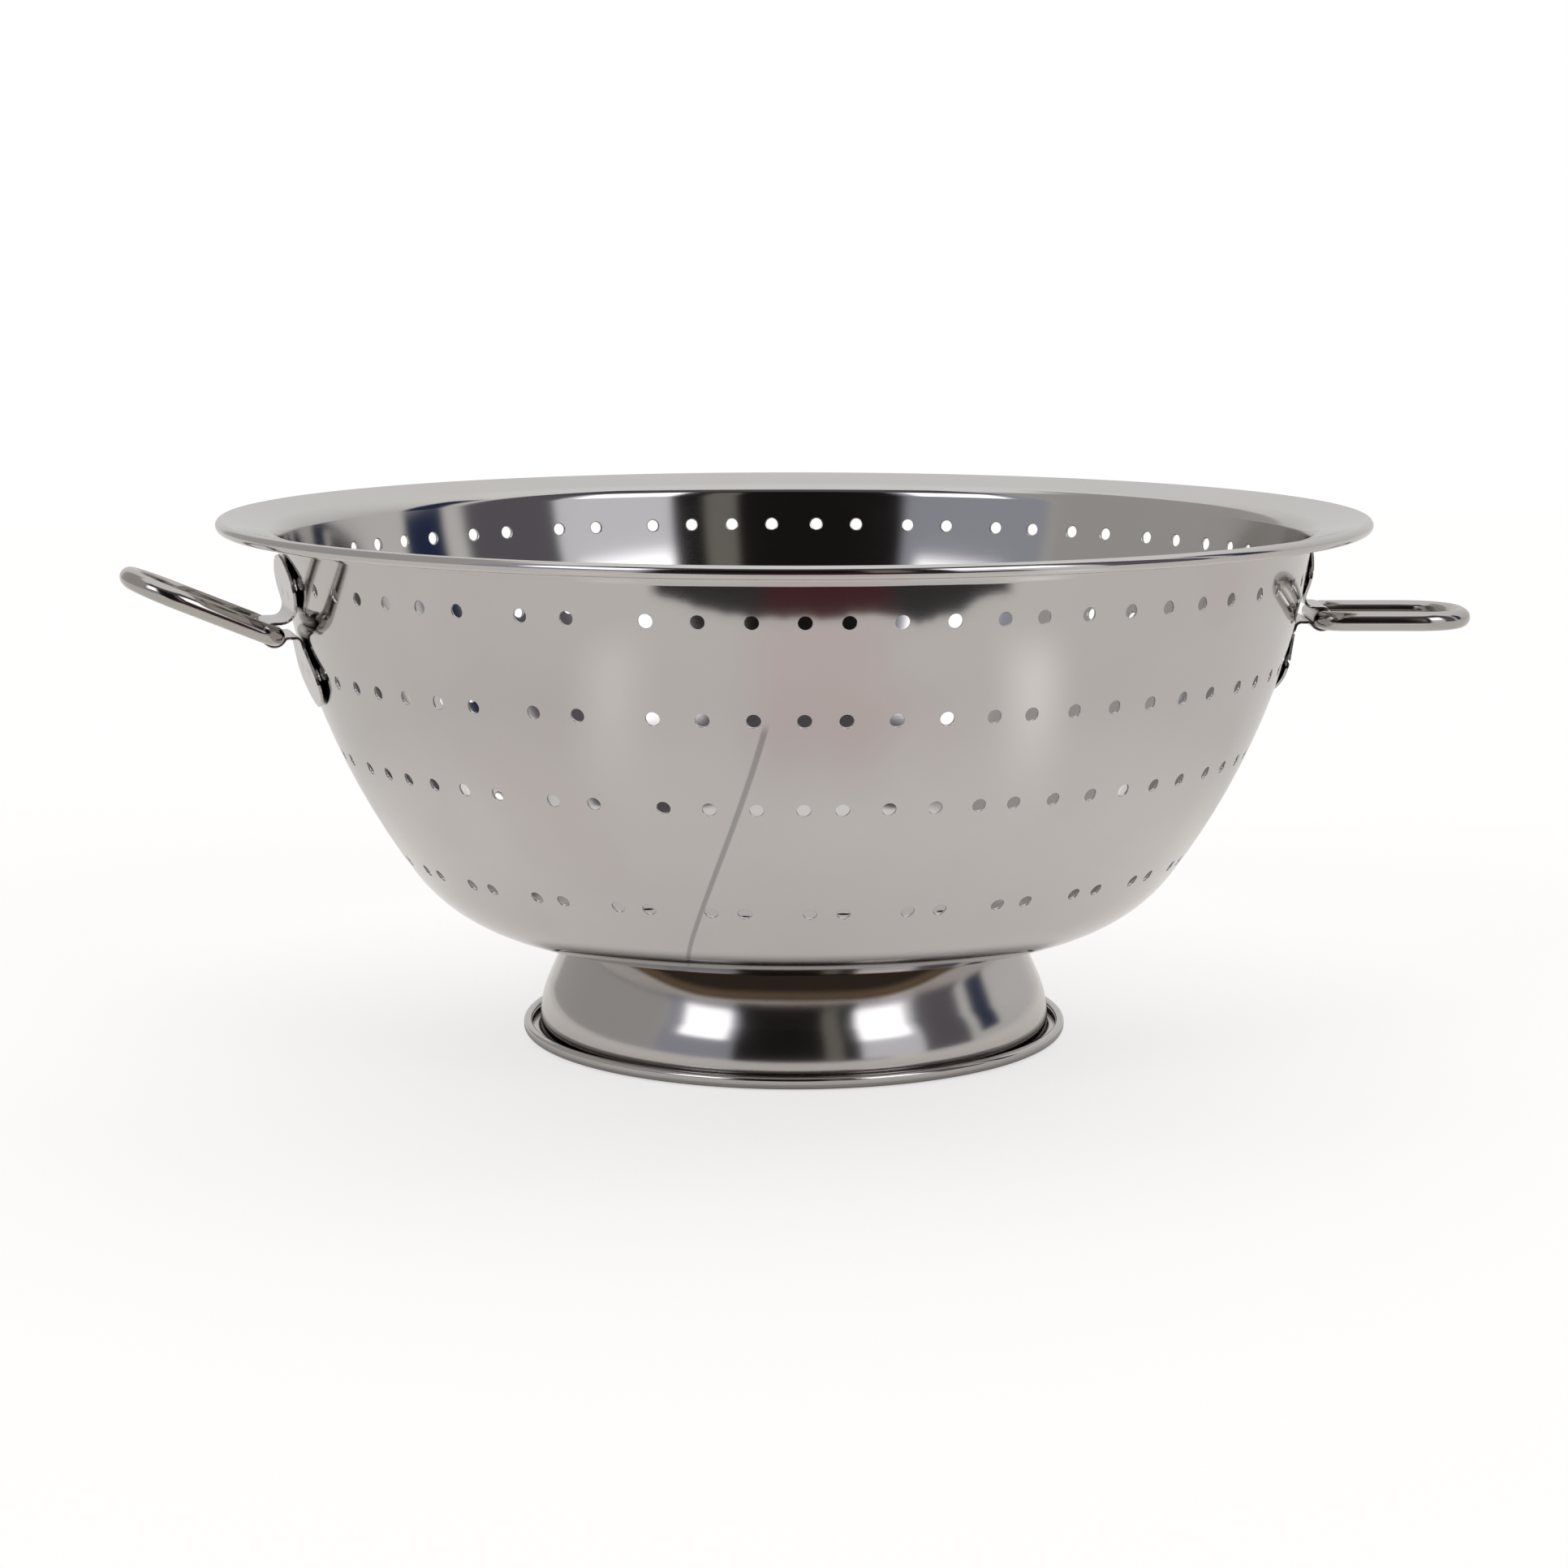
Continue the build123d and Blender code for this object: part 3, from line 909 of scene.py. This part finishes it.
ROOM_PARTS = (
    # from, to, bottom, top and softness in degrees, positive to the right and up, then a colour
    (-150, -64, -5, 60, 4.0, (0.44, 0.43, 0.42, 1.0)),  # grey wall on the left
    (-64, 86, -90, 62, 3.0, (0.30, 0.30, 0.32, 1.0)),  # the room on the camera's side
    (-64, -27, -5, 62, 2.0, (0.36, 0.37, 0.43, 1.0)),  # bluish wall round the left lamp
    (30, 61, -5, 62, 1.0, (0.80, 0.80, 0.86, 1.0)),  # bright wall round the right lamp
    (61, 86, -5, 50, 2.0, (0.13, 0.12, 0.14, 1.0)),  # dark wall beyond it
    (-27, 30, -60, 48, 1.5, (0.012, 0.010, 0.010, 1.0)),  # dark zone behind the camera
    (14, 22, 0, 40, 1.0, (0.20, 0.19, 0.17, 1.0)),  # a paler upright in the dark zone
    (-64, 86, 46, 68, 2.0, (0.10, 0.095, 0.10, 1.0)),  # dark edge of the ceiling
    (93, 106, 4, 40, 1.5, (0.02, 0.03, 0.075, 1.0)),  # navy upright on the right
    (-55, -31, 19, 45, 2.0, (2.3, 2.3, 2.4, 1.0)),  # left lamp
    (31, 56, 18, 45, 2.0, (2.3, 2.3, 2.4, 1.0)),  # right lamp
)
tone = sky
for left_edge, right_edge, bottom, top, soft, colour in ROOM_PARTS:
    mask = azimuth.inside(left_edge, right_edge, soft) * height.inside(bottom, top, soft)
    tone = room.mix(mask, tone, colour)
seen = room.node("ShaderNodeLightPath", out="Is Camera Ray")
tone = room.mix(seen, tone, grey(1.0))
glow = room.node("ShaderNodeBackground", {}, {"Color": tone, "Strength": 1.0})
room.node("ShaderNodeOutputWorld", {}, {"Surface": glow})
print("room parts", len(ROOM_PARTS))

# %% [markdown]
# The table is white and close, and it is what most of the bowl reflects. Its front edge wanders a
# third of a metre in front of the wall, and beyond it the room is dark: that is the dark band
# under the lip. Two pools of light lie on it, with a faint blush between them. To the camera the
# table is pure white, with the piece's shadow kept.

# %% Table
TABLE_SIZE, TABLE_SINK = 4.0, 0.0004
TABLE_EDGE, EDGE_FALL, EDGE_WANDER, EDGE_SOFT = 0.484, 0.10, 0.10, 0.005
EDGE_MIDDLE_DEG, EDGE_END_DEG, EDGE_END_SOFT = -0.5, 33.5, 1.5
POOL_NEAR, POOL_FAR, POOL_HALF_DEG = 0.25, 0.42, 4.0
TABLE_TONE, POOL_TONE, BLUSH_TONE = grey(0.32, 0.03), grey(0.75, 0.03), (0.33, 0.262, 0.262, 1.0)
NEAR_TONE, FOOT_SHADE = grey(0.46, 0.03), grey(0.02, 0.2)
DARK_TONE, DARK_RED = (0.032, 0.033, 0.034, 1.0), (0.065, 0.018, 0.024, 1.0)
POOLS = (
    # side in degrees, strength
    (-41.0, 0.4),
    (37.0, 0.75),
)

bpy.ops.mesh.primitive_plane_add(size=TABLE_SIZE, location=(0, 0, -TABLE_SINK))
floor = bpy.context.object
floor.name = "table"
floor_paint = bpy.data.materials.new("white_table")
floor_paint.use_nodes = True
table = Shader(floor_paint.node_tree)
table_place = table.place()
table_x, table_y, _ = table.axes(table_place)
away = (table_x * table_x + table_y * table_y).root()
around = table_x.angle_from(0 - table_y)

wander = table.noise(table_place, 11.0, 3.0) * EDGE_WANDER - EDGE_WANDER / 2
side_way = abs(around - EDGE_MIDDLE_DEG)
edge = away + wander - side_way.ramp(16.0, 36.0) * EDGE_FALL
side_end = side_way.ramp(EDGE_END_DEG - EDGE_END_SOFT, EDGE_END_DEG + EDGE_END_SOFT)
gap = edge.ramp(TABLE_EDGE - EDGE_SOFT, TABLE_EDGE + EDGE_SOFT) * (1 - side_end)
to_camera = table.node("ShaderNodeLightPath", out="Is Camera Ray")
gap = gap * (1 - to_camera)

pools = 0
for side, strength in POOLS:
    across = around.inside(side - POOL_HALF_DEG, side + POOL_HALF_DEG, 7.0)
    pools = pools + across * away.inside(POOL_NEAR, POOL_FAR, 0.08) * strength
blush = around.inside(-15.0, 9.0, 6.0) * away.inside(0.24, 0.47, 0.05)
lamp = table.mix(away.ramp(0.16, 0.34), NEAR_TONE, TABLE_TONE)
lamp = table.mix(pools, lamp, POOL_TONE)
lamp = table.mix(blush, lamp, BLUSH_TONE)
# Painted shadow: close round the foot the table's glow is painted dark, as the shade under the
# bowl, seen only in the steel.
lift = table.mix(away.ramp(0.08, 0.10), FOOT_SHADE, lamp)
lift = table.mix(to_camera, lift, grey(0.62))
dark = table.mix(around.inside(-14.0, 10.0, 3.0), DARK_TONE, DARK_RED)
lift = table.mix(gap, lift, dark)
white = table.mix(gap, grey(0.6, 0.03), grey(0.01, 0.2))
paint = table.node("ShaderNodeBsdfDiffuse", {}, {"Color": white})
shine = table.node("ShaderNodeEmission", {}, {"Color": lift, "Strength": 1.0})
both = table.node("ShaderNodeAddShader", {}, [paint, shine])
table.node("ShaderNodeOutputMaterial", {}, {"Surface": both})
floor.data.materials.append(floor_paint)
print("table shader", len(table.tree.nodes), "nodes")
